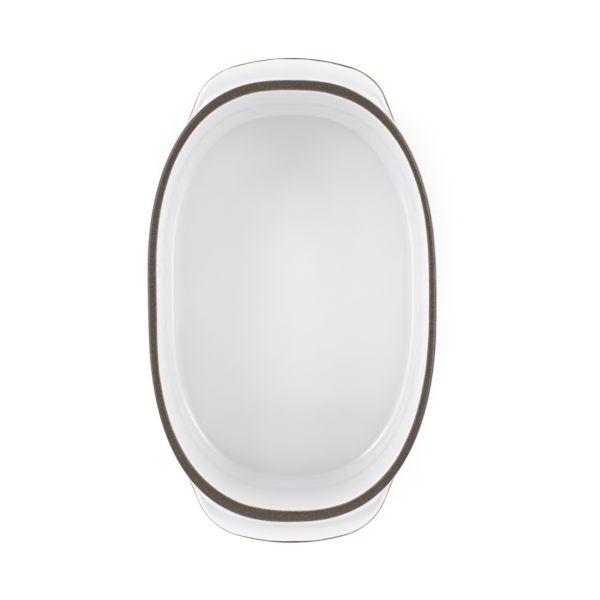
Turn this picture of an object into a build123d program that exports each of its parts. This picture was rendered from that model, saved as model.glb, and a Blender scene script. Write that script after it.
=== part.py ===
"""An oval gratin dish in glazed stoneware, with a lug handle at each end.

Millimetres, +Z up. The origin is under the middle of the dish, on the surface it stands on.
The long way of the dish runs along Y: one lug handle is at +Y (back), the other at -Y (front).
Clay, slip and glaze are separate solids that meet face to face.
"""
import os
from math import cos, pi, radians, sin, tan

from build123d import *

# The dish as a whole
overall_length = 240.0
rim_half_width = 70.9
rim_half_length = 108.6
rim_height = 46.0
oval_squareness = 2.5
oval_points = 24

# The clay wall, which leans in from the rim down to where the bottom corner begins
rim_thickness_at_sides = 3.6
rim_thickness_at_ends = 5.3
wall_depth = 30.0
side_wall_lean = 2.15
end_wall_lean = 5.9
rim_outer_rounding = 1.5
rim_inner_rounding = 0.8

# The clay bottom and its curved corner
floor_thickness = 4.5
side_corner_run = 9.55
end_corner_run = 6.2
outer_corner_run = 11.5
outer_corner_end_angle = 78.0

# How closely the ovals follow each other up a curved wall
ring_spacing = 3.0
corner_steps = 6

# The foot ring that the dish stands on
foot_height = 2.0
foot_ring_width = 4.0
foot_ring_inset = 0.6
foot_rounding = 0.7

# The glaze coats, and the clay that they leave bare
glaze_thickness = 0.45
bare_rim_outside = 2.0
bare_rim_inside = 0.9
bare_above_foot = 1.2
bare_inside_foot = 1.0

# The lug handles: a piece of brim that rises outwards, cut to a rounded outline
lug_thickness = 6.0
lug_top_at_rim = 39.4
lug_rise_angle = 15.0
lug_front_radius = 105.0
lug_corner_radius = 24.0
lug_side_angle = 26.5
lug_side_half_width = 47.1
lug_side_reach = 98.0
lug_root_reach = 81.0
lug_edge_rounding = 1.1
lug_bare_edge = 1.1

# The luting slip that joins a lug to the wall: a thin layer with a cove above and below
slip_thickness = 0.6
upper_cove_width = 3.8
upper_cove_height = 4.0
lower_cove_width = 3.2
lower_cove_height = 3.0
cove_end_angle = 70.0
cove_steps = 6

# How far a cutting solid runs past the face that it cuts
overrun = 6.0

# A face counts as upright when its normal leans out this many times more than it rises
upright_share = 4
half_turn = 180

floor_height = foot_height + floor_thickness
corner_height = rim_height - wall_depth
lug_slope = tan(radians(lug_rise_angle))
lug_underside_at_rim = lug_top_at_rim - lug_thickness


def oval(half_width, half_length, height):
    """A closed oval line, fuller at its corners than an ellipse."""
    points = []
    for step in range(oval_points):
        angle = 2 * pi * step / oval_points
        across = abs(cos(angle) / half_width) ** oval_squareness
        along = abs(sin(angle) / half_length) ** oval_squareness
        reach = (across + along) ** (-1 / oval_squareness)
        points.append((reach * cos(angle), reach * sin(angle), height))
    return Wire([Edge.make_spline(points, periodic=True)])


def smooth_solid(rings):
    """A smooth solid through evenly spaced (half width, half length, height) ovals, lowest first."""
    return Solid.make_loft([oval(*ring) for ring in rings])


def straight_solid(rings):
    """A solid that runs straight from each such oval to the next."""
    return Solid.make_loft([oval(*ring) for ring in rings], ruled=True)


def oval_plate(half_width, half_length, bottom, top):
    """A flat oval plate with upright sides."""
    return extrude(Face(oval(half_width, half_length, bottom)), top - bottom)


def slab(bottom, top):
    """All the space between two heights, as far as the dish and its lugs go."""
    side = overall_length + overrun
    return Pos(0, 0, bottom) * Box(side, side, top - bottom, align=(Align.CENTER, Align.CENTER, Align.MIN))


def wall_ring(half_width, half_length, skin, height):
    """The oval of a leaning wall at one height, moved out by a skin."""
    lean_share = (rim_height - height) / wall_depth
    return (
        half_width - side_wall_lean * lean_share + skin,
        half_length - end_wall_lean * lean_share + skin,
        height,
    )


def outside_ring(skin, height):
    """The oval of the clay wall's outside at one height, moved out by a skin."""
    return wall_ring(rim_half_width, rim_half_length, skin, height)


def bowl_form(half_width, half_length, skin, top, corner):
    """A bowl-like solid: a straight leaning wall on a bottom corner that curves in.

    The corner is given as (side run, end run, drop, end angle).
    """
    side_run, end_run, drop, end_angle = corner
    joint_width, joint_length, _ = wall_ring(half_width, half_length, 0, corner_height)
    rings = []
    for step in range(corner_steps):
        angle = end_angle * (1 - step / corner_steps)
        turn_in = 1 - cos(angle)
        rings.append(
            (
                joint_width - side_run * turn_in + skin * cos(angle),
                joint_length - end_run * turn_in + skin * cos(angle),
                corner_height - (drop + skin) * sin(angle),
            )
        )
    wall_steps = round((top - corner_height) / ring_spacing)
    for step in range(wall_steps + 1):
        height = corner_height + (top - corner_height) * step / wall_steps
        rings.append(wall_ring(half_width, half_length, skin, height))
    return smooth_solid(rings)


def cavity(skin):
    """The hollow of the dish, made smaller by a skin that lies on the clay."""
    return bowl_form(
        rim_half_width - rim_thickness_at_sides,
        rim_half_length - rim_thickness_at_ends,
        -skin,
        rim_height + overrun,
        (side_corner_run, end_corner_run, corner_height - floor_height, pi / 2),
    )


def outer_form(skin):
    """The outside of the wall and its bottom corner, grown by a skin that lies on the clay."""
    end_angle = radians(outer_corner_end_angle)
    drop = (corner_height - foot_height) / sin(end_angle)
    return bowl_form(
        rim_half_width,
        rim_half_length,
        skin,
        rim_height,
        (outer_corner_run, outer_corner_run, drop, end_angle),
    )


def foot_half_size():
    """Half width and half length of the foot ring's outside."""
    turn_in = outer_corner_run * (1 - cos(radians(outer_corner_end_angle)))
    width, length, _ = outside_ring(-turn_in - foot_ring_inset, corner_height)
    return width, length


def stoneware_body(outside):
    """Floor, wall, bare rim and foot ring, fired as one."""
    foot_width, foot_length = foot_half_size()
    foot = oval_plate(foot_width, foot_length, 0, floor_height)
    recess = oval_plate(foot_width - foot_ring_width, foot_length - foot_ring_width, -overrun, foot_height)
    body = outside - cavity(0) + foot - recess
    body = fillet(body.edges().group_by(Axis.Z)[0], foot_rounding)
    rim_edges = body.edges().group_by(Axis.Z)[-1].sort_by(SortBy.LENGTH)
    body = fillet(rim_edges[-1], rim_outer_rounding)
    rim_edges = body.edges().group_by(Axis.Z)[-1].sort_by(SortBy.LENGTH)
    return fillet(rim_edges[0], rim_inner_rounding)


def inside_glaze():
    """The coat over the floor and the inside of the wall."""
    return (cavity(0) & slab(0, rim_height - bare_rim_inside)) - cavity(glaze_thickness)


def outside_glaze(outside):
    """The coat on the outside of the wall, from under the rim to above the foot, open at the lugs."""
    coat = outer_form(glaze_thickness) & slab(foot_height + bare_above_foot, rim_height - bare_rim_outside)
    lug_root = (upper_cove(glaze_thickness) + lower_cove(glaze_thickness)) & lug_column(lug_bare_edge)
    return coat - outside - lug_root - Rot(0, 0, half_turn) * lug_root


def underside_glaze():
    """The coat in the recess under the dish, inside the foot ring."""
    foot_width, foot_length = foot_half_size()
    inset = foot_ring_width + bare_inside_foot
    return oval_plate(foot_width - inset, foot_length - inset, foot_height - glaze_thickness, foot_height)


def lug_plan():
    """Outline of the back lug seen from above, run in to where the wall cuts it."""
    side_slope = tan(radians(lug_side_angle))
    root_half_width = lug_side_half_width + (lug_side_reach - lug_root_reach) * side_slope
    front_centre = overall_length / 2 - lug_front_radius
    root_to_centre = lug_root_reach - front_centre
    square_term = 1 + side_slope**2
    linear_term = root_to_centre - side_slope * root_half_width
    constant_term = root_half_width**2 + root_to_centre**2 - lug_front_radius**2
    side_rise = ((linear_term**2 - square_term * constant_term) ** 0.5 - linear_term) / square_term
    corner_x = root_half_width - side_slope * side_rise
    corner_y = lug_root_reach + side_rise
    outline = Polyline(
        (-corner_x, corner_y),
        (-root_half_width, lug_root_reach),
        (root_half_width, lug_root_reach),
        (corner_x, corner_y),
    )
    front = ThreePointArc((corner_x, corner_y), (0, overall_length / 2), (-corner_x, corner_y))
    plan = make_face(outline + front)
    return fillet(plan.vertices().group_by(Axis.Y)[-1], lug_corner_radius)


def lug_column(inset):
    """The lug's outline, drawn in by an inset, as an upright column as tall as the dish."""
    plan = lug_plan()
    if inset > 0:
        plan = offset(plan, -inset)
    return extrude(plan, rim_height)


def above_brim(height_at_rim):
    """All the space over a brim that rises outwards, at a given height under the rim's outline."""
    reach = overall_length / 2 - rim_half_length + overrun
    return straight_solid(
        [
            (rim_half_width - overrun, rim_half_length - overrun, height_at_rim - overrun * lug_slope),
            (rim_half_width + reach, rim_half_length + reach, height_at_rim + reach * lug_slope),
            (rim_half_width + reach, rim_half_length + reach, rim_height + overrun),
        ]
    )


def brim():
    """A brim all round the dish, as thick as a lug, that the lugs are cut from."""
    return above_brim(lug_underside_at_rim) - above_brim(lug_top_at_rim)


def clay_wall(skin):
    """The straight part of the outside of the wall, grown by a skin."""
    return straight_solid([outside_ring(skin, corner_height), outside_ring(skin, rim_height)])


def upper_cove(skin):
    """A ring that fills the corner over the brim with a hollow curve, grown by a skin."""
    lean = end_wall_lean * (rim_height - lug_top_at_rim) / wall_depth
    start = lug_top_at_rim + (upper_cove_width - lean) * lug_slope
    rings = [outside_ring(upper_cove_width, start - lug_thickness)]
    for step in range(cove_steps + 1):
        angle = radians(cove_end_angle) * step / cove_steps
        width = upper_cove_width * (1 - sin(angle)) + skin * sin(angle)
        height = start + upper_cove_height * (1 - cos(angle)) + skin * cos(angle)
        rings.append(outside_ring(width, height))
    return straight_solid(rings)


def lower_cove(skin):
    """A ring that fills the corner under the brim with a hollow curve, grown by a skin."""
    lean = side_wall_lean * (rim_height - lug_underside_at_rim) / wall_depth
    end = lug_underside_at_rim + (lower_cove_width - lean) * lug_slope
    rings = [outside_ring(lower_cove_width, end + lug_thickness)]
    for step in range(cove_steps + 1):
        angle = radians(cove_end_angle) * step / cove_steps
        width = lower_cove_width * (1 - sin(angle)) + skin * sin(angle)
        height = end - lower_cove_height * (1 - cos(angle)) - skin * cos(angle)
        rings.append(outside_ring(width, height))
    rings.reverse()
    return straight_solid(rings)


def lug_handle():
    """The clay of the back lug, its edge rounded, cut to lie against the slip on the wall."""
    lug = brim() & lug_column(0)
    outer_faces = lug.faces().filter_by(lambda face: face.normal_at().Y > upright_share * abs(face.normal_at().Z))
    edges = outer_faces.edges().filter_by(GeomType.LINE, reverse=True)
    return fillet(edges, lug_edge_rounding) - clay_wall(slip_thickness)


def luting_seam(outside):
    """The slip between the back lug and the wall, smoothed into a cove above and below."""
    above = upper_cove(0) & above_brim(lug_top_at_rim)
    below = lower_cove(0) - above_brim(lug_underside_at_rim)
    joint = clay_wall(slip_thickness) & brim()
    return ((above + below + joint) & lug_column(lug_bare_edge)) - outside


def lug_top_glaze(outside):
    """The coat over the back lug and its upper cove, stopping short of the bare edge."""
    coat = above_brim(lug_top_at_rim) - above_brim(lug_top_at_rim + glaze_thickness)
    coat = coat + (upper_cove(glaze_thickness) & above_brim(lug_top_at_rim)) - upper_cove(0)
    return (coat & lug_column(lug_bare_edge)) - outside


def lug_underside_glaze(outside):
    """The coat under the back lug and its lower cove, stopping short of the bare edge."""
    coat = above_brim(lug_underside_at_rim - glaze_thickness) - above_brim(lug_underside_at_rim)
    coat = coat + (lower_cove(glaze_thickness) - above_brim(lug_underside_at_rim)) - lower_cove(0)
    return (coat & lug_column(lug_bare_edge)) - outside


def dish_pieces():
    """Every piece of the dish by name; the front lug is the back one turned round."""
    outside = outer_form(0)
    lug_pieces = {
        "lug_handle": lug_handle(),
        "luting_seam": luting_seam(outside),
        "lug_top_glaze": lug_top_glaze(outside),
        "lug_underside_glaze": lug_underside_glaze(outside),
    }
    pieces = {}
    for name, shape in lug_pieces.items():
        pieces[name + "_back"] = shape
        pieces[name + "_front"] = Rot(0, 0, half_turn) * shape
    pieces["outside_glaze"] = outside_glaze(outside)
    pieces["inside_glaze"] = inside_glaze()
    pieces["underside_glaze"] = underside_glaze()
    pieces["stoneware_body"] = stoneware_body(outside)
    return pieces


if __name__ == "__main__":
    os.makedirs("parts", exist_ok=True)
    for name, shape in dish_pieces().items():
        shape.label = name
        export_step(shape, f"parts/{name}.step")
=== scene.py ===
"""A glazed stoneware gratin dish, seen from straight above on a white ground.

The pieces are worked out in millimetres, in the dish's own frame, and become meshes in metres.
"""

import math

import bmesh
import bpy
import numpy as np
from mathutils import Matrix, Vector


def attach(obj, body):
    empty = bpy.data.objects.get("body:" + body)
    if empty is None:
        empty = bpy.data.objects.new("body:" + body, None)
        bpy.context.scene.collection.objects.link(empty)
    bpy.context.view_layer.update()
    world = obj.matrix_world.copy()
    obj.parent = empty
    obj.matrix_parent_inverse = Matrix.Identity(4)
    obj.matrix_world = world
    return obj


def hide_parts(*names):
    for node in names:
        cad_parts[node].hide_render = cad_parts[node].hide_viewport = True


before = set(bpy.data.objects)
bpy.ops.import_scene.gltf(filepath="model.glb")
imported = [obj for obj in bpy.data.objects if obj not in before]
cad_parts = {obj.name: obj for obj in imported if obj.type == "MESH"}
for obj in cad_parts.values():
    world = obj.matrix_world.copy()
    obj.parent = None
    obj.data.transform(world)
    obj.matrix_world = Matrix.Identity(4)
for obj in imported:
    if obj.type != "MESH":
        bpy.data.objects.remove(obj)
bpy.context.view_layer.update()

MILLIMETRE = 0.001

# The dish in millimetres, with the construction model's own sizes
OVERALL_LENGTH = 240.0
RIM_HALF_WIDTH = 70.9
RIM_HALF_LENGTH = 108.6
RIM_HEIGHT = 46.0
SQUARENESS = 2.5
RIM_THICKNESS_SIDES = 3.6
RIM_THICKNESS_ENDS = 5.3
WALL_DEPTH = 30.0
SIDE_LEAN = 2.15
END_LEAN = 5.9
RIM_OUTER_ROUNDING = 1.5
RIM_INNER_ROUNDING = 0.8
FLOOR_HEIGHT = 6.5
CORNER_HEIGHT = RIM_HEIGHT - WALL_DEPTH
SIDE_CORNER_RUN = 9.55
END_CORNER_RUN = 6.2
OUTER_CORNER_RUN = 11.5
OUTER_CORNER_END = math.radians(78)
FOOT_HEIGHT = 2.0
FOOT_WIDTH = 4.0
FOOT_INSET = 0.6
FOOT_ROUNDING = 0.7
OUTER_CORNER_DROP = (CORNER_HEIGHT - FOOT_HEIGHT) / math.sin(OUTER_CORNER_END)
GLAZE = 0.45
SLIP = 0.6

# The lugs, with the construction model's sizes where it and the photograph agree
LUG_THICKNESS = 6.0
LUG_TOP = 39.4
LUG_SLOPE = math.tan(math.radians(15))
LUG_ROOT_REACH = 81.0
COVE_WIDTH = 3.8
COVE_HEIGHT = 4.0
LOWER_COVE_WIDTH = 3.2
LOWER_COVE_HEIGHT = 3.0

# The plan of the lugs from the photograph, up to a millimetre off the construction model
LUG_FRONT_RADIUS = 97.5
LUG_CORNER_RADIUS = 30.0
LUG_SIDE_ANGLE = math.radians(22.5)
LUG_SIDE_POINT = (46.8, 98.0)
BACK_LUG_SHORTFALL = 1.3

# Details that the construction model leaves out
CORNER_SQUARENESS_SIDES = 2.1
CORNER_SQUARENESS_ENDS = 1.4
RIM_CROWN = 0.10
RING_HEIGHT = 15.4

# How the glaze thins out: its thickness at an edge, and the widths of its taper and its golden band
GLAZE_EDGE = 0.05
WALL_TAPER = 3.0
LUG_TAPER = 2.6
INSIDE_BAND = 1.5
OUTSIDE_BAND = 1.3
LUG_BAND = 0.7
FAR_FROM_EDGE = 60.0

# How finely the pieces are drawn
ROUND_STEPS = 480
LUG_STEPS = 220
UPPER_EDGE_STEPS = 12
LOWER_EDGE_STEPS = 9
WRAP_STEPS = 7
AROUND = np.arange(ROUND_STEPS) * 2 * math.pi / ROUND_STEPS
TOWARDS_ENDS = np.sin(AROUND) ** 2

# The hand-made unevenness of the rim: a mean, then cosine and sine amounts for 1 to 6 waves round it
OUTER_UNEVENNESS = (-0.15, (0.25, -0.15), (0, -0.1), (0.2, 0.2), (0, -0.1), (0, 0), (-0.1, 0))
INNER_UNEVENNESS = (-0.05, (0.5, 0.1), (-0.3, -0.1), (0.15, 0.2), (-0.2, 0.1), (0.05, -0.05), (-0.05, -0.1))


def smooth(value):
    """Eases a share between 0 and 1."""
    value = np.clip(value, 0, 1)
    return value * value * (3 - 2 * value)


def waves(angle, amounts):
    """The sum of a few waves round the dish."""
    total = np.full_like(angle, amounts[0])
    for count, (cosine, sine) in enumerate(amounts[1:], start=1):
        total = total + cosine * np.cos(count * angle) + sine * np.sin(count * angle)
    return total


def wander(angle, seed, counts, size):
    """A seeded uneven line round the dish, as a glaze edge runs."""
    random = np.random.default_rng(seed)
    total = np.zeros_like(angle)
    for count in counts:
        total = total + random.normal() * np.cos(count * angle + random.uniform(0, 2 * math.pi))
    return size * total / math.sqrt(len(counts))


def reach(half_width, half_length, angle):
    """Distance from the middle to the oval at an angle."""
    across = np.abs(np.cos(angle) / half_width) ** SQUARENESS
    along = np.abs(np.sin(angle) / half_length) ** SQUARENESS
    return (across + along) ** (-1 / SQUARENESS)


def ring(half_width, half_length, height):
    """Points of an oval at a height."""
    distance = reach(half_width, half_length, AROUND)
    return np.stack(
        [distance * np.cos(AROUND), distance * np.sin(AROUND), height + np.zeros(ROUND_STEPS)], axis=-1
    )


def coat(share):
    """Thickness of the glaze, from its edge at 0 to its full body at 1."""
    return GLAZE_EDGE + (GLAZE - GLAZE_EDGE) * share


def zeros_for(rows):
    """No thinning or pooling, for rows that are bare or hidden."""
    return [np.zeros(len(row)) for row in rows]


def settle(points):
    """Moves points in plan by the hand-made unevenness of the rim."""
    angle = np.arctan2(points[..., 1], points[..., 0])
    distance = np.hypot(points[..., 0], points[..., 1])
    inner = reach(RIM_HALF_WIDTH - RIM_THICKNESS_SIDES, RIM_HALF_LENGTH - RIM_THICKNESS_ENDS, angle)
    outer = reach(RIM_HALF_WIDTH, RIM_HALF_LENGTH, angle)
    share = np.clip((distance - inner) / (outer - inner), 0, 1)
    stray = (1 - share) * waves(angle, INNER_UNEVENNESS) + share * waves(angle, OUTER_UNEVENNESS)
    stray = stray * np.minimum(1, distance / inner) * (1 - smooth((distance - outer) / 12))
    moved = points.copy()
    grown = 1 + stray / np.maximum(distance, 1)
    moved[..., 0] = points[..., 0] * grown
    moved[..., 1] = points[..., 1] * grown - BACK_LUG_SHORTFALL * smooth((points[..., 1] - 104) / 14)
    return moved


def make_piece(name, loops, thin, material, joined, nodes, painted_shade=None):
    """A closed mesh from loops of points; the loops are joined up, or the first and last are filled.

    Thin says where the glaze lets the clay through; the optional last one says where painted shade greys
    the glaze.
    """
    loops = settle(np.asarray(loops, float))
    rows, count = loops.shape[0], loops.shape[1]
    faces = []
    for row in range(rows if joined else rows - 1):
        following = (row + 1) % rows
        for step in range(count):
            next_step = (step + 1) % count
            faces.append(
                (
                    row * count + step,
                    row * count + next_step,
                    following * count + next_step,
                    following * count + step,
                )
            )
    if not joined:
        faces.append(tuple(range(count)))
        faces.append(tuple((rows - 1) * count + step for step in range(count)))
    mesh = bpy.data.meshes.new(name)
    mesh.from_pydata((loops.reshape(-1, 3) * MILLIMETRE).tolist(), [], faces)
    layer = mesh.attributes.new("thin", "FLOAT", "POINT")
    layer.data.foreach_set("value", np.asarray(thin, float).reshape(-1))
    if painted_shade is not None:
        layer = mesh.attributes.new("painted_shade", "FLOAT", "POINT")
        layer.data.foreach_set("value", np.asarray(painted_shade, float).reshape(-1))
    work = bmesh.new()
    work.from_mesh(mesh)
    bmesh.ops.recalc_face_normals(work, faces=work.faces)
    work.to_mesh(mesh)
    work.free()
    mesh.shade_smooth()
    mesh.materials.append(material)
    piece = bpy.data.objects.new(name, mesh)
    bpy.context.scene.collection.objects.link(piece)
    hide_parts(*nodes)
    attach(piece, "root")


# Materials


def empty_material(name):
    """A material with nothing in it but its output."""
    material = bpy.data.materials.new(name)
    material.use_nodes = True
    nodes = material.node_tree.nodes
    nodes.clear()
    return material, nodes.new("ShaderNodeOutputMaterial")


def new_material(name):
    """A material with its output and one principled shader."""
    material, output = empty_material(name)
    shader = material.node_tree.nodes.new("ShaderNodeBsdfPrincipled")
    material.node_tree.links.new(shader.outputs["BSDF"], output.inputs["Surface"])
    return material, shader


def add_noise(material, scale, detail, roughness):
    """Noise in the piece's own metres."""
    nodes, links = material.node_tree.nodes, material.node_tree.links
    place = nodes.new("ShaderNodeTexCoord")
    noise = nodes.new("ShaderNodeTexNoise")
    noise.inputs["Scale"].default_value = scale
    noise.inputs["Detail"].default_value = detail
    noise.inputs["Roughness"].default_value = roughness
    links.new(place.outputs["Object"], noise.inputs["Vector"])
    return noise


def add_ramp(material, source, stops):
    """A colour ramp over a value."""
    ramp = material.node_tree.nodes.new("ShaderNodeValToRGB")
    elements = ramp.color_ramp.elements
    while len(elements) < len(stops):
        elements.new(0.5)
    for element, (position, colour) in zip(elements, stops):
        element.position = position
        element.color = (*colour, 1)
    material.node_tree.links.new(source, ramp.inputs["Fac"])
    return ramp


def add_multiply(material, factor, first, second):
    """One colour times another, each a socket or a constant, by a factor between 0 and 1."""
    mix = material.node_tree.nodes.new("ShaderNodeMix")
    mix.data_type = "RGBA"
    mix.blend_type = "MULTIPLY"
    for socket, value in ((mix.inputs[0], factor), (mix.inputs[6], first), (mix.inputs[7], second)):
        if isinstance(value, bpy.types.NodeSocket):
            material.node_tree.links.new(value, socket)
        elif isinstance(value, (int, float)):
            socket.default_value = value
        else:
            socket.default_value = (*value, 1)
    return mix.outputs[2]


def add_bump(material, shader, source, strength, distance):
    """A bump from a value."""
    bump = material.node_tree.nodes.new("ShaderNodeBump")
    bump.inputs["Strength"].default_value = strength
    bump.inputs["Distance"].default_value = distance
    material.node_tree.links.new(source, bump.inputs["Height"])
    material.node_tree.links.new(bump.outputs["Normal"], shader.inputs["Normal"])


def white_glaze():
    """Glossy white glaze, golden brown where it runs thin over the clay, greyed by painted shade at the
    floor's ends and along the throwing ring.
    """
    material, shader = new_material("white_glaze")
    nodes, links = material.node_tree.nodes, material.node_tree.links
    thin = nodes.new("ShaderNodeAttribute")
    thin.attribute_name = "thin"
    cloud = add_noise(material, 55, 3, 0.5)
    tone = add_ramp(
        material, cloud.outputs["Fac"], [(0.3, (0.772, 0.774, 0.784)), (0.7, (0.788, 0.790, 0.799))]
    )
    break_up = add_noise(material, 900, 2, 0.6)
    uneven = nodes.new("ShaderNodeMath")
    uneven.operation = "MULTIPLY_ADD"
    uneven.inputs[1].default_value = 0.5
    links.new(break_up.outputs["Fac"], uneven.inputs[0])
    links.new(thin.outputs["Fac"], uneven.inputs[2])
    shifted = nodes.new("ShaderNodeMath")
    shifted.operation = "SUBTRACT"
    shifted.inputs[1].default_value = 0.25
    links.new(uneven.outputs[0], shifted.inputs[0])
    halo = add_ramp(
        material,
        shifted.outputs[0],
        [
            (0.14, (1.0, 1.0, 1.0)),
            (0.35, (0.95, 0.91, 0.83)),
            (0.62, (0.76, 0.58, 0.34)),
            (0.82, (0.46, 0.26, 0.10)),
            (1.0, (0.13, 0.09, 0.06)),
        ],
    )
    colour = add_multiply(material, 1.0, tone.outputs["Color"], halo.outputs["Color"])
    # Painted shade: greys the glaze where the floor's ends and the throwing ring's crease lie in shade.
    painted_shade = nodes.new("ShaderNodeAttribute")
    painted_shade.attribute_name = "painted_shade"
    colour = add_multiply(material, painted_shade.outputs["Fac"], colour, (0.945, 0.935, 0.945))
    links.new(colour, shader.inputs["Base Color"])
    shader.inputs["Roughness"].default_value = 0.09
    shader.inputs["IOR"].default_value = 1.52
    ripple = add_noise(material, 110, 1, 0.4)
    add_bump(material, shader, ripple.outputs["Fac"], 0.05, 0.0003)
    return material


def bare_stoneware():
    """Dark brown unglazed clay, finely speckled, with a faint sheen."""
    material, shader = new_material("bare_stoneware")
    links = material.node_tree.links
    grain = add_noise(material, 1600, 3, 0.6)
    base = add_ramp(
        material,
        grain.outputs["Fac"],
        [(0.32, (0.028, 0.018, 0.010)), (0.5, (0.045, 0.030, 0.018)), (0.70, (0.098, 0.071, 0.049))],
    )
    patches = add_noise(material, 90, 3, 0.55)
    warm = add_ramp(
        material, patches.outputs["Fac"], [(0.35, (0.90, 0.93, 0.92)), (0.65, (1.10, 1.06, 1.06))]
    )
    colour = add_multiply(material, 1.0, base.outputs["Color"], warm.outputs["Color"])
    links.new(colour, shader.inputs["Base Color"])
    shader.inputs["Roughness"].default_value = 0.24
    shader.inputs["IOR"].default_value = 1.7
    tooth = add_noise(material, 2200, 2, 0.6)
    add_bump(material, shader, tooth.outputs["Fac"], 0.55, 0.00012)
    return material


def luting_slip():
    """Fired joining slip: the clay's own paste, a shade lighter."""
    material, shader = new_material("luting_slip")
    grain = add_noise(material, 1200, 3, 0.6)
    base = add_ramp(
        material, grain.outputs["Fac"], [(0.35, (0.52, 0.50, 0.47)), (0.7, (0.66, 0.64, 0.61))]
    )
    material.node_tree.links.new(base.outputs["Color"], shader.inputs["Base Color"])
    shader.inputs["Roughness"].default_value = 0.6
    return material


GLAZE_MATERIAL = white_glaze()
CLAY_MATERIAL = bare_stoneware()
SLIP_MATERIAL = luting_slip()


# The bowl


def inside_wall(height):
    """Half sizes of the clay's inside at a height on the straight wall."""
    share = (RIM_HEIGHT - height) / WALL_DEPTH
    return (
        RIM_HALF_WIDTH - RIM_THICKNESS_SIDES - SIDE_LEAN * share,
        RIM_HALF_LENGTH - RIM_THICKNESS_ENDS - END_LEAN * share,
    )


def outside_wall(height):
    """Half sizes of the clay's outside at a height on the straight wall."""
    share = (RIM_HEIGHT - height) / WALL_DEPTH
    return RIM_HALF_WIDTH - SIDE_LEAN * share, RIM_HALF_LENGTH - END_LEAN * share


def corner_power():
    """The power that shapes the inside corner, which the clay fills out more at the ends."""
    added = (CORNER_SQUARENESS_ENDS - CORNER_SQUARENESS_SIDES) * TOWARDS_ENDS
    return 2 / (CORNER_SQUARENESS_SIDES + added)


def corner_run():
    """How far the inside corner runs in from the wall, less between the sides and the ends."""
    share = 1 - 0.22 * np.sin(2 * AROUND) ** 2
    return SIDE_CORNER_RUN * share, END_CORNER_RUN * share


def throwing_ring(height):
    """How far the inside stands in from its plain form: a shallow hollow over a soft ridge."""
    hollow = smooth((38 - height) / 20) * smooth((height - 15.3) / 1.6)
    ridge = smooth((16.9 - height) / 1.6) * smooth((height - 7) / 7)
    return (0.06 + 0.10 * TOWARDS_ENDS) * (ridge - hollow)


def floor_rise(along):
    """The floor stands a little high in its middle and sinks towards the ends."""
    return 0.45 - 0.00064 * np.maximum(np.abs(along) - 50, 0) ** 2


def inside_station(kind, value, skin):
    """A row on the inside of the clay, with a coat of a given thickness on it."""
    if kind == "floor":
        width, length = inside_wall(CORNER_HEIGHT)
        side_run, end_run = corner_run()
        row = ring((width - side_run) * value, (length - end_run) * value, FLOOR_HEIGHT + skin)
        row[:, 2] = row[:, 2] + floor_rise(row[:, 1])
        return row
    if kind == "corner":
        width, length = inside_wall(CORNER_HEIGHT)
        side_run, end_run = corner_run()
        turn_in = 1 - math.cos(value) ** corner_power()
        height = CORNER_HEIGHT - (CORNER_HEIGHT - FLOOR_HEIGHT) * math.sin(value) ** corner_power()
        inset = skin * math.cos(value) + throwing_ring(height)
        row = ring(
            width - side_run * turn_in - inset,
            length - end_run * turn_in - inset,
            height + skin * math.sin(value),
        )
        row[:, 2] = row[:, 2] + floor_rise(row[:, 1]) * math.sin(value) ** 4
        return row
    if kind == "wall":
        width, length = inside_wall(value)
        inset = skin + throwing_ring(value)
        return ring(width - inset, length - inset, value)
    width, length = inside_wall(RIM_HEIGHT)
    turn_out = RIM_INNER_ROUNDING * (1 - np.cos(value))
    return ring(
        width + turn_out - skin * np.cos(value),
        length + turn_out - skin * np.cos(value),
        RIM_HEIGHT - RIM_INNER_ROUNDING * (1 - np.sin(value)) + skin * np.sin(value),
    )


def inside_path(edge):
    """The rows from the middle of the floor to an angle on the rim's inner rounding.

    Each is (kind, value, height, distance below the coat's edge).
    """
    path = []
    for share in np.linspace(0.03, 0.985, 26):
        path.append(("floor", share, FLOOR_HEIGHT, FAR_FROM_EDGE))
    for angle in np.linspace(math.pi / 2, 0, 33):
        height = CORNER_HEIGHT - (CORNER_HEIGHT - FLOOR_HEIGHT) * math.sin(angle) ** 1.3
        path.append(("corner", angle, height, FAR_FROM_EDGE))
    top = RIM_HEIGHT - RIM_INNER_ROUNDING
    rounding_length = RIM_INNER_ROUNDING * edge
    for share in np.linspace(0, 1, 54)[1:]:
        height = CORNER_HEIGHT + (top - CORNER_HEIGHT) * share**1.5
        path.append(("wall", height, height, rounding_length + top - height))
    for share in np.linspace(0, 1, 9)[1:]:
        path.append(("rounding", edge * share, top, rounding_length * (1 - share)))
    return path


def floor_swell(points):
    """The slight unevenness of the floor's coat, in millimetres."""
    across, along = points[..., 0], points[..., 1]
    return (
        0.030 * np.sin(across / 17 + along / 31 + 0.7)
        + 0.024 * np.sin(across / 29 - along / 19 + 2.1)
        + 0.016 * np.sin(along / 11 + 0.4) * np.cos(across / 23)
    )


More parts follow.
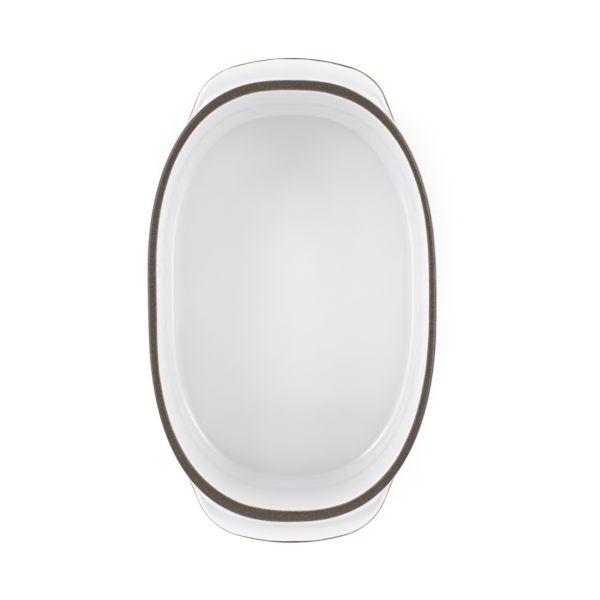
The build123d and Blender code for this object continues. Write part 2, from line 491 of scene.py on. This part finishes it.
def inside_glaze():
    """The coat over the floor and the inside of the wall, thin at its edge on the rim.

    Painted shade greys it towards the sunken ends of the floor and along the throwing ring. Its hidden side
    has fewer rows.
    """
    edge = np.radians(34 + wander(AROUND, 3, (5, 9, 14, 23, 37, 61), 7))
    front, back, thin, painted_shade = [], [], [], []
    for kind, value, height, below in inside_path(edge):
        below = below + np.zeros(ROUND_STEPS)
        row = inside_station(kind, value, coat(smooth(below / WALL_TAPER)))
        if kind == "floor":
            row[:, 2] = row[:, 2] + floor_swell(row)
        elif kind == "corner":
            row[:, 2] = row[:, 2] + floor_swell(row) * math.sin(value) ** 4
        front.append(row)
        back.append(inside_station(kind, value, 0))
        thin.append(1 - smooth(below / INSIDE_BAND))
        # Painted shade: the glaze darkens towards the floor's ends.
        end_shade = 0.65 * smooth((np.abs(row[:, 1]) - 45) / 40)
        if kind == "floor":
            painted_shade.append(end_shade)
            continue
        # Painted shade: a darker band along the throwing ring's crease, stronger towards the ends.
        ring_shade = math.exp(-(((height - RING_HEIGHT) / 1.9) ** 2)) * (0.3 + 0.7 * TOWARDS_ENDS)
        on_floor = math.sin(value) ** 4 if kind == "corner" else 0
        painted_shade.append(np.maximum(ring_shade, end_shade * on_floor))
    hidden = back[::-1][:-1:3] + back[:1]
    make_piece(
        "inside_glaze_coat",
        front + hidden,
        thin + zeros_for(hidden),
        GLAZE_MATERIAL,
        False,
        ["inside_glaze"],
        painted_shade + zeros_for(hidden),
    )


def outer_rounding():
    """Radius of the rim's outer edge: softer on the right side, crisper at the front."""
    softer = smooth(np.cos(AROUND - math.radians(20)) / 0.8)
    crisper = smooth((-np.sin(AROUND) - 0.6) / 0.35)
    return RIM_OUTER_ROUNDING + 0.6 * softer - 0.5 * crisper


OUTER_ROUNDING = outer_rounding()


def outside_station(kind, value, skin):
    """A row on the outside of the clay, with a coat of a given thickness on it."""
    if kind == "rounding":
        width, length = outside_wall(RIM_HEIGHT)
        turn_in = OUTER_ROUNDING * (1 - np.cos(value))
        return ring(
            width - turn_in + skin * np.cos(value),
            length - turn_in + skin * np.cos(value),
            RIM_HEIGHT - OUTER_ROUNDING * (1 - np.sin(value)) + skin * np.sin(value),
        )
    if kind == "wall":
        width, length = outside_wall(value)
        return ring(width + skin, length + skin, value)
    width, length = outside_wall(CORNER_HEIGHT)
    turn_in = OUTER_CORNER_RUN * (1 - np.cos(value))
    return ring(
        width - turn_in + skin * np.cos(value),
        length - turn_in + skin * np.cos(value),
        CORNER_HEIGHT - (OUTER_CORNER_DROP + skin) * np.sin(value),
    )


def outside_glaze():
    """The coat on the outside of the wall, thin at its edges under the rim and above the foot."""
    # The top edge climbs further over the rim's outer rounding on the right side towards the back. Its
    # golden edge line shows there, and the pale strip it leaves is partly a painted sheen where the light
    # falls on that side.
    raised = smooth((np.cos(AROUND - math.radians(35)) - 0.5) / 0.42)
    top_edge = np.radians(16 + 25 * raised + wander(AROUND, 5, (4, 7, 13, 22, 35, 58), 6))
    foot_edge = np.radians(64 + wander(AROUND, 7, (3, 8, 15, 29), 1.6))
    top = RIM_HEIGHT - OUTER_ROUNDING
    rounding_length = OUTER_ROUNDING * top_edge
    corner_length = 0.92 * OUTER_CORNER_DROP * foot_edge
    path = []
    for share in np.linspace(1, 0, 9)[:-1]:
        path.append(("rounding", top_edge * share, rounding_length * (1 - share)))
    for share in np.linspace(0, 1, 30):
        height = top - (top - CORNER_HEIGHT) * share**1.15
        path.append(("wall", height, np.minimum(rounding_length + top - height, FAR_FROM_EDGE)))
    for share in np.linspace(0, 1, 26)[1:]:
        path.append(("corner", foot_edge * share, corner_length * (1 - share)))
    front, back, thin = [], [], []
    for kind, value, to_edge in path:
        front.append(outside_station(kind, value, coat(smooth(to_edge / WALL_TAPER))))
        back.append(outside_station(kind, value, 0))
        thin.append(1 - smooth(to_edge / OUTSIDE_BAND))
    make_piece(
        "outside_glaze_coat",
        front + back[::-1],
        thin + zeros_for(back),
        GLAZE_MATERIAL,
        True,
        ["outside_glaze"],
    )


def foot_half_size():
    """Half sizes of the foot ring's outside."""
    width, length = outside_wall(CORNER_HEIGHT)
    turn_in = OUTER_CORNER_RUN * (1 - math.cos(OUTER_CORNER_END)) + FOOT_INSET
    return width - turn_in, length - turn_in


def stoneware_body():
    """Floor, wall, bare rim and foot ring."""
    rows = []
    for kind, value, _, _ in inside_path(np.radians(90) + np.zeros(ROUND_STEPS)):
        rows.append(inside_station(kind, value, 0))
    inner = np.array(inside_wall(RIM_HEIGHT))[:, None] + RIM_INNER_ROUNDING
    outer = np.array(outside_wall(RIM_HEIGHT))[:, None] - OUTER_ROUNDING
    for share in np.linspace(0, 1, 8)[1:-1]:
        half_width, half_length = inner + (outer - inner) * share
        crown = RIM_CROWN * (math.sin(math.pi * share) - 0.5)
        rows.append(ring(half_width, half_length, RIM_HEIGHT + crown))
    for angle in np.linspace(math.pi / 2, 0, 13):
        rows.append(outside_station("rounding", angle, 0))
    top = RIM_HEIGHT - OUTER_ROUNDING
    for share in np.linspace(0, 1, 16)[1:]:
        rows.append(outside_station("wall", top - (top - CORNER_HEIGHT) * share, 0))
    for share in np.linspace(0, 1, 18)[1:]:
        rows.append(outside_station("corner", OUTER_CORNER_END * share, 0))
    width, length = foot_half_size()
    for inset, height in ((-0.25, 1.93), (-0.06, 1.78), (0, 1.5), (0, 0.9)):
        rows.append(ring(width - inset, length - inset, height))
    for angle in np.linspace(0, math.pi / 2, 7):
        inset = FOOT_ROUNDING * (1 - math.cos(angle))
        rows.append(ring(width - inset, length - inset, FOOT_ROUNDING * (1 - math.sin(angle))))
    for angle in np.linspace(math.pi / 2, 0, 7):
        inset = FOOT_WIDTH - FOOT_ROUNDING * (1 - math.cos(angle))
        rows.append(ring(width - inset, length - inset, FOOT_ROUNDING * (1 - math.sin(angle))))
    for further, height in ((0, 1.4), (0.1, 1.8), (0.4, FOOT_HEIGHT)):
        inset = FOOT_WIDTH + further
        rows.append(ring(width - inset, length - inset, height))
    for share in (0.9, 0.75, 0.5, 0.25, 0.05):
        rows.append(ring((width - FOOT_WIDTH) * share, (length - FOOT_WIDTH) * share, FOOT_HEIGHT))
    make_piece(
        "stoneware_dish", rows, zeros_for(rows), CLAY_MATERIAL, False, ["stoneware_body"]
    )


def underside_glaze():
    """The coat in the recess under the dish."""
    width, length = foot_half_size()
    edge = FOOT_WIDTH + 1.0 + wander(AROUND, 11, (3, 6, 11, 19), 0.25)
    front, back, thin = [], [], []
    for inset in (0, 0.15, 0.4, 0.8, 1.4, 2.4):
        thickness = coat(smooth(inset / 2.0))
        front.append(ring(width - edge - inset, length - edge - inset, FOOT_HEIGHT - thickness))
        back.append(ring(width - edge - inset, length - edge - inset, FOOT_HEIGHT))
        thin.append(np.full(ROUND_STEPS, 1 - smooth(inset / 0.8)))
    full_inset = FOOT_WIDTH + 3
    for share in (0.85, 0.65, 0.45, 0.25, 0.05):
        half_width, half_length = (width - full_inset) * share, (length - full_inset) * share
        front.append(ring(half_width, half_length, FOOT_HEIGHT - GLAZE))
        back.append(ring(half_width, half_length, FOOT_HEIGHT))
        thin.append(np.zeros(ROUND_STEPS))
    make_piece(
        "underside_glaze_coat",
        front[::-1] + back,
        thin[::-1] + zeros_for(back),
        GLAZE_MATERIAL,
        False,
        ["underside_glaze"],
    )


# The lugs


def growth(across, along, width, length):
    """How far an oval must grow from given half sizes to pass through points."""
    grown = np.zeros_like(across)
    for _ in range(12):
        first = (np.abs(across) / (width + grown)) ** SQUARENESS
        second = (np.abs(along) / (length + grown)) ** SQUARENESS
        slope = -SQUARENESS * (first / (width + grown) + second / (length + grown))
        grown = grown - (first + second - 1) / slope
    return grown


def lug_outline():
    """The back lug's outline from its right root to its left root, with inward normals.

    A straight side, an arc for the corner that meets it and the front arc smoothly, and the front arc.
    """
    up_side = np.array([-math.sin(LUG_SIDE_ANGLE), math.cos(LUG_SIDE_ANGLE)])
    outward = np.array([math.cos(LUG_SIDE_ANGLE), math.sin(LUG_SIDE_ANGLE)])
    side_point = np.array(LUG_SIDE_POINT)
    front_centre = np.array([0, OVERALL_LENGTH / 2 - LUG_FRONT_RADIUS])
    base = side_point - LUG_CORNER_RADIUS * outward - front_centre
    along = base @ up_side
    run = -along + math.sqrt(along**2 - base @ base + (LUG_FRONT_RADIUS - LUG_CORNER_RADIUS) ** 2)
    corner_centre = base + run * up_side + front_centre
    side_end = side_point + run * up_side
    root = side_point + (LUG_ROOT_REACH - side_point[1]) / up_side[1] * up_side
    points = [root + (side_end - root) * share for share in np.linspace(0, 1, 400)]
    toward = corner_centre - front_centre
    end_angle = math.atan2(toward[1], toward[0])
    for angle in np.linspace(LUG_SIDE_ANGLE, end_angle, 300)[1:]:
        points.append(corner_centre + LUG_CORNER_RADIUS * np.array([math.cos(angle), math.sin(angle)]))
    for angle in np.linspace(end_angle, math.pi / 2, 300)[1:]:
        points.append(front_centre + LUG_FRONT_RADIUS * np.array([math.cos(angle), math.sin(angle)]))
    points = np.array(points)
    mirrored = points[::-1][1:] * np.array([-1, 1])
    points = np.concatenate([points, mirrored])
    room = growth(points[:, 0], points[:, 1], *outside_wall(LUG_TOP))
    points = points[room > 0.2]
    travelled = np.concatenate([[0], np.cumsum(np.hypot(*np.diff(points, axis=0).T))])
    shares = np.linspace(0, 1, LUG_STEPS)
    closer_at_roots = shares - 0.6 * np.sin(2 * math.pi * shares) / (2 * math.pi)
    at = closer_at_roots * travelled[-1]
    across, along = (np.interp(at, travelled, points[:, axis]) for axis in (0, 1))
    points = np.stack([across, along], axis=-1)
    direction = np.gradient(points, axis=0)
    direction = direction / np.linalg.norm(direction, axis=1)[:, None]
    inward = np.stack([-direction[:, 1], direction[:, 0]], axis=-1)
    return points, inward


LUG_POINTS, LUG_INWARD = lug_outline()

# Along the lug's outline: the room out from the wall, the side's share and the direction from the middle
LUG_ROOM = growth(LUG_POINTS[:, 0], LUG_POINTS[:, 1], *outside_wall(LUG_TOP))
LUG_SIDE = smooth((np.abs(LUG_POINTS[:, 0]) - 28) / 20)
LUG_ALONG = np.arctan2(LUG_POINTS[:, 1], LUG_POINTS[:, 0])

# Along the outline too: the radii of both edges, and the coves' share of their full size
UPPER_ROUNDING = np.minimum(1.3 + LUG_SIDE, 0.45 * LUG_ROOM + 0.1)
LOWER_ROUNDING = np.minimum(1.1, 0.45 * LUG_ROOM + 0.1)
COVE_SHARE = np.clip((LUG_ROOM - 0.2) / (COVE_WIDTH + 3.5), 0.02, 1)


def brim_height(plan):
    """Height of the brim's top over points in plan."""
    return LUG_TOP + LUG_SLOPE * growth(plan[..., 0], plan[..., 1], RIM_HALF_WIDTH, RIM_HALF_LENGTH)


def inset_plan(inset):
    """The lug's outline drawn in by an inset, kept outside the wall at the roots."""
    inset = inset + np.zeros(LUG_STEPS)
    limited = np.minimum(inset, 0.55 * LUG_ROOM)
    return LUG_POINTS + LUG_INWARD * limited[:, None]


def wall_plan(plan, skin, height):
    """The points of the wall, grown by a skin, on the rays to points in plan."""
    angle = np.arctan2(plan[:, 1], plan[:, 0])
    width, length = outside_wall(height)
    distance = reach(width + skin, length + skin, angle)
    return np.stack([distance * np.cos(angle), distance * np.sin(angle)], axis=-1)


def with_height(plan, height):
    """Points in plan, raised to a height."""
    return np.concatenate([plan, (height + np.zeros(len(plan)))[:, None]], axis=1)


def upper_cove_foot(plan):
    """Where the upper cove starts on the lug, on the rays to points in plan."""
    lean = END_LEAN * (RIM_HEIGHT - LUG_TOP) / WALL_DEPTH
    start = LUG_TOP + (COVE_WIDTH - lean) * LUG_SLOPE
    return wall_plan(plan, COVE_WIDTH * COVE_SHARE, start)


def upper_cove_rows(plan, turns, skin):
    """Rows on the upper cove at some turns up from the lug, in degrees, under a coat."""
    foot_height = brim_height(upper_cove_foot(plan))
    rows = []
    for angle in np.radians(turns):
        width = COVE_WIDTH * COVE_SHARE * (1 - math.sin(angle)) + skin * math.sin(angle)
        rise = COVE_HEIGHT * COVE_SHARE * (1 - math.cos(angle)) + skin * math.cos(angle)
        height = foot_height + rise
        rows.append(with_height(wall_plan(plan, width, height), height))
    return rows


def lower_cove_foot(plan):
    """Where the lower cove starts under the lug, on the rays to points in plan."""
    lean = SIDE_LEAN * (RIM_HEIGHT - LUG_TOP + LUG_THICKNESS) / WALL_DEPTH
    start = LUG_TOP - LUG_THICKNESS + (LOWER_COVE_WIDTH - lean) * LUG_SLOPE
    return wall_plan(plan, LOWER_COVE_WIDTH * COVE_SHARE, start)


def lower_cove_rows(plan, turns, skin):
    """Rows on the lower cove at some turns down from the lug, in degrees, under a coat."""
    foot_height = brim_height(lower_cove_foot(plan)) - LUG_THICKNESS
    rows = []
    for angle in np.radians(turns):
        width = LOWER_COVE_WIDTH * COVE_SHARE * (1 - math.sin(angle)) + skin * math.sin(angle)
        drop = LOWER_COVE_HEIGHT * COVE_SHARE * (1 - math.cos(angle)) + skin * math.cos(angle)
        height = foot_height - drop
        rows.append(with_height(wall_plan(plan, width, height), height))
    return rows


def past_rounding(rounding, outer):
    """An inset just past a rounded edge, and past where a coat starts."""
    return np.maximum(rounding * 1.15, outer + 0.3)


def rows_over_lug(lift, outer):
    """Rows over the lug from an inset near its edge in to the top of the upper cove.

    Lift is the coat's thickness, a function of the inset.
    """
    rows = []
    last = past_rounding(UPPER_ROUNDING, outer)
    for share in np.linspace(0, 1, UPPER_EDGE_STEPS):
        inset = outer + (last - outer) * share
        plan = inset_plan(inset)
        bite = np.clip(1 - inset / UPPER_ROUNDING, 0, 1)
        sink = UPPER_ROUNDING * (1 - np.sqrt(1 - bite**2))
        thickness = lift(inset)
        height = brim_height(plan) - sink
        plan = plan - LUG_INWARD * (thickness * bite)[:, None]
        rows.append(with_height(plan, height + thickness * np.sqrt(1 - 0.9 * bite**2)))
    plan = inset_plan(last)
    full = lift(np.full(LUG_STEPS, FAR_FROM_EDGE))
    foot = upper_cove_foot(plan)
    for share in np.linspace(0, 1, 14)[1:]:
        between = plan + (foot - plan) * share
        rows.append(with_height(between, brim_height(between) + full))
    return rows + upper_cove_rows(plan, np.linspace(0, 88, 15)[1:], full)


def lug_sections(rows):
    """Turns rows that run along the lug into sections across it."""
    return np.stack(rows, axis=1)


def both_lugs(name, build, material, node):
    """Makes the back lug's piece, and the front one turned round from the same form."""
    for side, sign in (("back", 1), ("front", -1)):
        sections, thin = build(side)
        turned = sections * np.array([sign, sign, 1])
        make_piece(f"{name}_{side}", turned, thin, material, False, [f"{node}_{side}"])


def bare_edge(side):
    """How far the top glaze stops short of a lug's edge, more where the clay shows."""
    across = LUG_POINTS[:, 0]
    if side == "back":
        bare = 0.20 + 0.17 * smooth((across + 8) / 16) + 0.28 * np.exp(-(((across - 27) / 6) ** 2))
        return bare + wander(LUG_ALONG * 4, 13, (3, 5, 9, 14, 23), 0.07)
    bare = 0.20 + 0.26 * (1 - smooth((np.abs(across) - 18) / 16)) + 0.42 * np.exp(-((across / 8) ** 2))
    bare = bare + 0.10 * smooth((-across - 8) / 10)
    return bare + wander(LUG_ALONG * 4, 19, (3, 5, 9, 14, 23), 0.08)


def no_coat(inset):
    """The thickness of a coat that isn't there."""
    return 0 * inset


def lug_clay(side):
    """The clay of a lug: sloping top and underside, rounded edge, root against the slip.

    Both sides have the same form.
    """
    rows = []
    for angle in np.radians(np.linspace(0, 90, 9)):
        plan = inset_plan(UPPER_ROUNDING * (1 - math.cos(angle)))
        rows.append(with_height(plan, brim_height(plan) - UPPER_ROUNDING * (1 - math.sin(angle))))
    plan = inset_plan(UPPER_ROUNDING)
    meets_slip = (LUG_ROOM > 1.2)[:, None]
    upper_root = np.where(meets_slip, wall_plan(plan, SLIP, LUG_TOP), plan * 0.999)
    lower_root = np.where(meets_slip, wall_plan(plan, SLIP, LUG_TOP - LUG_THICKNESS), plan * 0.999)
    for share in np.linspace(0, 1, 12)[1:]:
        between = plan + (upper_root - plan) * share
        rows.append(with_height(between, brim_height(between)))
    plan = inset_plan(LOWER_ROUNDING)
    for share in np.linspace(1, 0, 12)[:-1]:
        between = plan + (lower_root - plan) * share
        rows.append(with_height(between, brim_height(between) - LUG_THICKNESS))
    for angle in np.radians(np.linspace(90, 0, 7)):
        plan = inset_plan(LOWER_ROUNDING * (1 - math.cos(angle)))
        rise = LOWER_ROUNDING * (1 - math.sin(angle))
        rows.append(with_height(plan, brim_height(plan) - LUG_THICKNESS + rise))
    return lug_sections(rows), lug_sections(zeros_for(rows))


def wrapped_rows(first, lift, wrap):
    """Rows up the side of a lug near its roots, where the top coat runs down over the edge."""
    depth = 0.05 + wrap * (LUG_THICKNESS - UPPER_ROUNDING - LOWER_ROUNDING - 0.05)
    rows = []
    for share in np.linspace(1, 0, WRAP_STEPS)[:-1]:
        proud = lift * wrap * (1 - share) ** 0.5
        row = first.copy()
        row[:, :2] = row[:, :2] - LUG_INWARD * proud[:, None]
        row[:, 2] = row[:, 2] - depth * share
        rows.append(row)
    return rows


def lug_top_glaze(side):
    """The coat over a lug, thin towards its bare edge, hollow where it meets the wall."""
    wrap = 1 - smooth((LUG_ROOM - 0.6) / 2.4)
    outer = np.maximum(bare_edge(side) * (1 - wrap), 0.02)

    def lift(inset):
        return coat(smooth((inset - outer) / LUG_TAPER))

    front = rows_over_lug(lift, outer)
    back = rows_over_lug(no_coat, outer)
    edge_width = past_rounding(UPPER_ROUNDING, outer) - outer
    thin = zeros_for(front)
    for step, share in enumerate(np.linspace(0, 1, UPPER_EDGE_STEPS)):
        thin[step] = (1 - smooth(edge_width * share / LUG_BAND)) * (1 - wrap)
    side_thin = [1 - smooth((1 - share) * wrap / 0.3) for share in np.linspace(1, 0, WRAP_STEPS)[:-1]]
    side_front = wrapped_rows(front[0], 0.3, wrap)
    side_back = wrapped_rows(back[0], 0, wrap)
    rows = side_front + front + back[::-1] + side_back[::-1]
    return lug_sections(rows), lug_sections(side_thin + thin + zeros_for(back + side_back))


def rows_under_lug(lift, outer):
    """Rows under the lug from near its edge in to the bottom of the lower cove."""
    rows = []
    last = past_rounding(LOWER_ROUNDING, outer)
    for share in np.linspace(0, 1, LOWER_EDGE_STEPS):
        inset = outer + (last - outer) * share
        plan = inset_plan(inset)
        bite = np.clip(1 - inset / LOWER_ROUNDING, 0, 1)
        rise = LOWER_ROUNDING * (1 - np.sqrt(1 - bite**2))
        rows.append(with_height(plan, brim_height(plan) - LUG_THICKNESS + rise - lift(inset)))
    plan = inset_plan(last)
    full = lift(np.full(LUG_STEPS, FAR_FROM_EDGE))
    foot = lower_cove_foot(plan)
    for share in np.linspace(0, 1, 10)[1:]:
        between = plan + (foot - plan) * share
        rows.append(with_height(between, brim_height(between) - LUG_THICKNESS - full))
    return rows + lower_cove_rows(plan, np.linspace(0, 88, 12)[1:], full)


def lug_underside_glaze(side):
    """The coat under a lug, thin towards its bare edge."""
    seed = 17 if side == "back" else 29
    edge = 0.6 + wander(LUG_ALONG * 4, seed, (3, 5, 9, 14), 0.12)
    outer = np.maximum(edge * smooth(LUG_ROOM / 4), 0.02)

    def lift(inset):
        return coat(smooth((inset - outer) / LUG_TAPER))

    front = rows_under_lug(lift, outer)
    back = rows_under_lug(no_coat, outer)
    edge_width = past_rounding(LOWER_ROUNDING, outer) - outer
    thin = zeros_for(front)
    for step, share in enumerate(np.linspace(0, 1, LOWER_EDGE_STEPS)):
        thin[step] = (1 - smooth(edge_width * share / LUG_BAND)) * smooth(LUG_ROOM / 3)
    return lug_sections(front + back[::-1]), lug_sections(thin + zeros_for(back))


def luting_seam(side):
    """The slip between a lug and the wall, smoothed into a hollow above and below.

    Both sides have the same form.
    """
    plan = inset_plan(2.6)
    rows = upper_cove_rows(plan, np.linspace(70, 0, 9), 0)
    near = wall_plan(plan, np.minimum(SLIP, 0.5 * LUG_ROOM), LUG_TOP)
    rows.append(with_height(near, brim_height(near)))
    rows.append(with_height(near, brim_height(near) - LUG_THICKNESS))
    rows = rows + lower_cove_rows(plan, np.linspace(0, 70, 9), 0)
    bottom = rows[-1][:, 2]
    top = rows[0][:, 2]
    for share in (0.02, 0.35, 0.65, 0.98):
        height = bottom + (top - bottom) * share
        rows.append(with_height(wall_plan(plan, 0.02, height), height))
    return lug_sections(rows), lug_sections(zeros_for(rows))


stoneware_body()
inside_glaze()
outside_glaze()
underside_glaze()
both_lugs("lug_clay", lug_clay, CLAY_MATERIAL, "lug_handle")
both_lugs("luting_slip_seam", luting_seam, SLIP_MATERIAL, "luting_seam")
both_lugs("lug_top_glaze_coat", lug_top_glaze, GLAZE_MATERIAL, "lug_top_glaze")
both_lugs(
    "lug_underside_glaze_coat", lug_underside_glaze, GLAZE_MATERIAL, "lug_underside_glaze"
)


# Ground, light and camera


def show_camera(tree, plain, seen, output):
    """Joins two shaders so that the camera sees the second and everything else the first."""
    path = tree.nodes.new("ShaderNodeLightPath")
    choice = tree.nodes.new("ShaderNodeMixShader")
    tree.links.new(path.outputs["Is Camera Ray"], choice.inputs[0])
    tree.links.new(plain.outputs[0], choice.inputs[1])
    tree.links.new(seen.outputs[0], choice.inputs[2])
    tree.links.new(choice.outputs[0], output.inputs["Surface"])


def white_ground():
    """A white ground that shows as pure white where no shadow falls on it."""
    bpy.ops.mesh.primitive_plane_add(size=12, location=(0, 0, 0))
    ground = bpy.context.object
    ground.name = "ground"
    material, output = empty_material("ground")
    nodes, links = material.node_tree.nodes, material.node_tree.links
    plain = nodes.new("ShaderNodeBsdfDiffuse")
    plain.inputs["Color"].default_value = (0.45, 0.45, 0.45, 1)
    seen = nodes.new("ShaderNodeBsdfDiffuse")
    seen.inputs["Color"].default_value = (0.70, 0.70, 0.695, 1)
    glow = nodes.new("ShaderNodeEmission")
    glow.inputs["Color"].default_value = (1, 1, 1, 1)
    glow.inputs["Strength"].default_value = 0.30
    both = nodes.new("ShaderNodeAddShader")
    links.new(seen.outputs[0], both.inputs[0])
    links.new(glow.outputs[0], both.inputs[1])
    show_camera(material.node_tree, plain, both, output)
    ground.data.materials.append(material)


def white_world():
    """A white surrounding that lights the dish a little less than it shows."""
    world = bpy.data.worlds.new("world")
    bpy.context.scene.world = world
    world.use_nodes = True
    nodes = world.node_tree.nodes
    nodes.clear()
    output = nodes.new("ShaderNodeOutputWorld")
    lit = nodes.new("ShaderNodeBackground")
    lit.inputs["Color"].default_value = (0.995, 0.99, 0.995, 1)
    lit.inputs["Strength"].default_value = 0.71
    seen = nodes.new("ShaderNodeBackground")
    seen.inputs["Color"].default_value = (1, 1, 1, 1)
    seen.inputs["Strength"].default_value = 1.0
    show_camera(world.node_tree, lit, seen, output)


def soft_light(name, turn, rise, distance, width, height, brightness):
    """A flat soft light that faces the dish, placed by its turn from +X and its rise, in degrees."""
    turn, rise = math.radians(turn), math.radians(rise)
    place = distance * Vector(
        (math.cos(turn) * math.cos(rise), math.sin(turn) * math.cos(rise), math.sin(rise))
    )
    data = bpy.data.lights.new(name, "AREA")
    data.shape = "RECTANGLE"
    data.size = width
    data.size_y = height
    data.energy = math.pi * width * height * brightness
    light = bpy.data.objects.new(name, data)
    light.location = place
    light.rotation_euler = (Vector((0, 0, 0.03)) - place).to_track_quat("-Z", "Y").to_euler()
    bpy.context.scene.collection.objects.link(light)


def overhead_diffuser(x, y, height, radius, brightness):
    """A small round diffuser over the dish that fades to its edge and mirrors softly in the floor."""
    bpy.ops.mesh.primitive_circle_add(vertices=64, radius=radius, fill_type="NGON", location=(x, y, height))
    diffuser = bpy.context.object
    diffuser.name = "overhead_diffuser"
    material, output = empty_material("overhead_diffuser")
    nodes, links = material.node_tree.nodes, material.node_tree.links
    glow = nodes.new("ShaderNodeEmission")
    place = nodes.new("ShaderNodeTexCoord")
    size = nodes.new("ShaderNodeMapping")
    size.inputs["Scale"].default_value = (1 / radius, 1 / radius, 1 / radius)
    fade = nodes.new("ShaderNodeTexGradient")
    fade.gradient_type = "SPHERICAL"
    soft = nodes.new("ShaderNodeMapRange")
    soft.interpolation_type = "SMOOTHSTEP"
    soft.inputs["To Max"].default_value = brightness
    links.new(place.outputs["Object"], size.inputs["Vector"])
    links.new(size.outputs["Vector"], fade.inputs["Vector"])
    links.new(fade.outputs["Fac"], soft.inputs["Value"])
    links.new(soft.outputs["Result"], glow.inputs["Strength"])
    links.new(glow.outputs[0], output.inputs["Surface"])
    diffuser.data.materials.append(material)
    diffuser.visible_camera = False


def overhead_camera():
    """A long lens almost straight above the dish."""
    data = bpy.data.cameras.new("camera")
    data.sensor_width = 36
    data.lens = 147.6
    data.clip_start = 0.05
    data.clip_end = 30
    camera = bpy.data.objects.new("camera", data)
    camera.location = (0.0042, 0.0847, 1.246)
    camera.rotation_euler = (-math.atan2(0.084, 1.2), 0, 0)
    bpy.context.scene.collection.objects.link(camera)
    bpy.context.scene.camera = camera


white_ground()
white_world()
soft_light("right_panel", 10, 20, 1.7, 2.0, 1.0, 2.30)
soft_light("left_panel", 168, 20, 1.7, 2.0, 1.0, 2.48)
soft_light("right_box", 20, 36, 1.8, 0.40, 0.30, 5.5)
soft_light("left_box", 150, 36, 1.8, 0.44, 0.28, 8.5)
soft_light("back_panel", 90, 26, 1.8, 1.7, 0.7, 0.34)
soft_light("front_panel", 270, 30, 1.8, 1.6, 0.8, 1.12)
soft_light("front_low_panel", 270, 17, 1.8, 1.8, 0.7, 0.42)
soft_light("front_high_panel", 270, 62, 2.0, 1.6, 0.8, 0.55)
overhead_diffuser(0.07, -0.14, 2.0, 0.26, 1.75)
overhead_camera()
bpy.context.scene.view_settings.view_transform = "Standard"
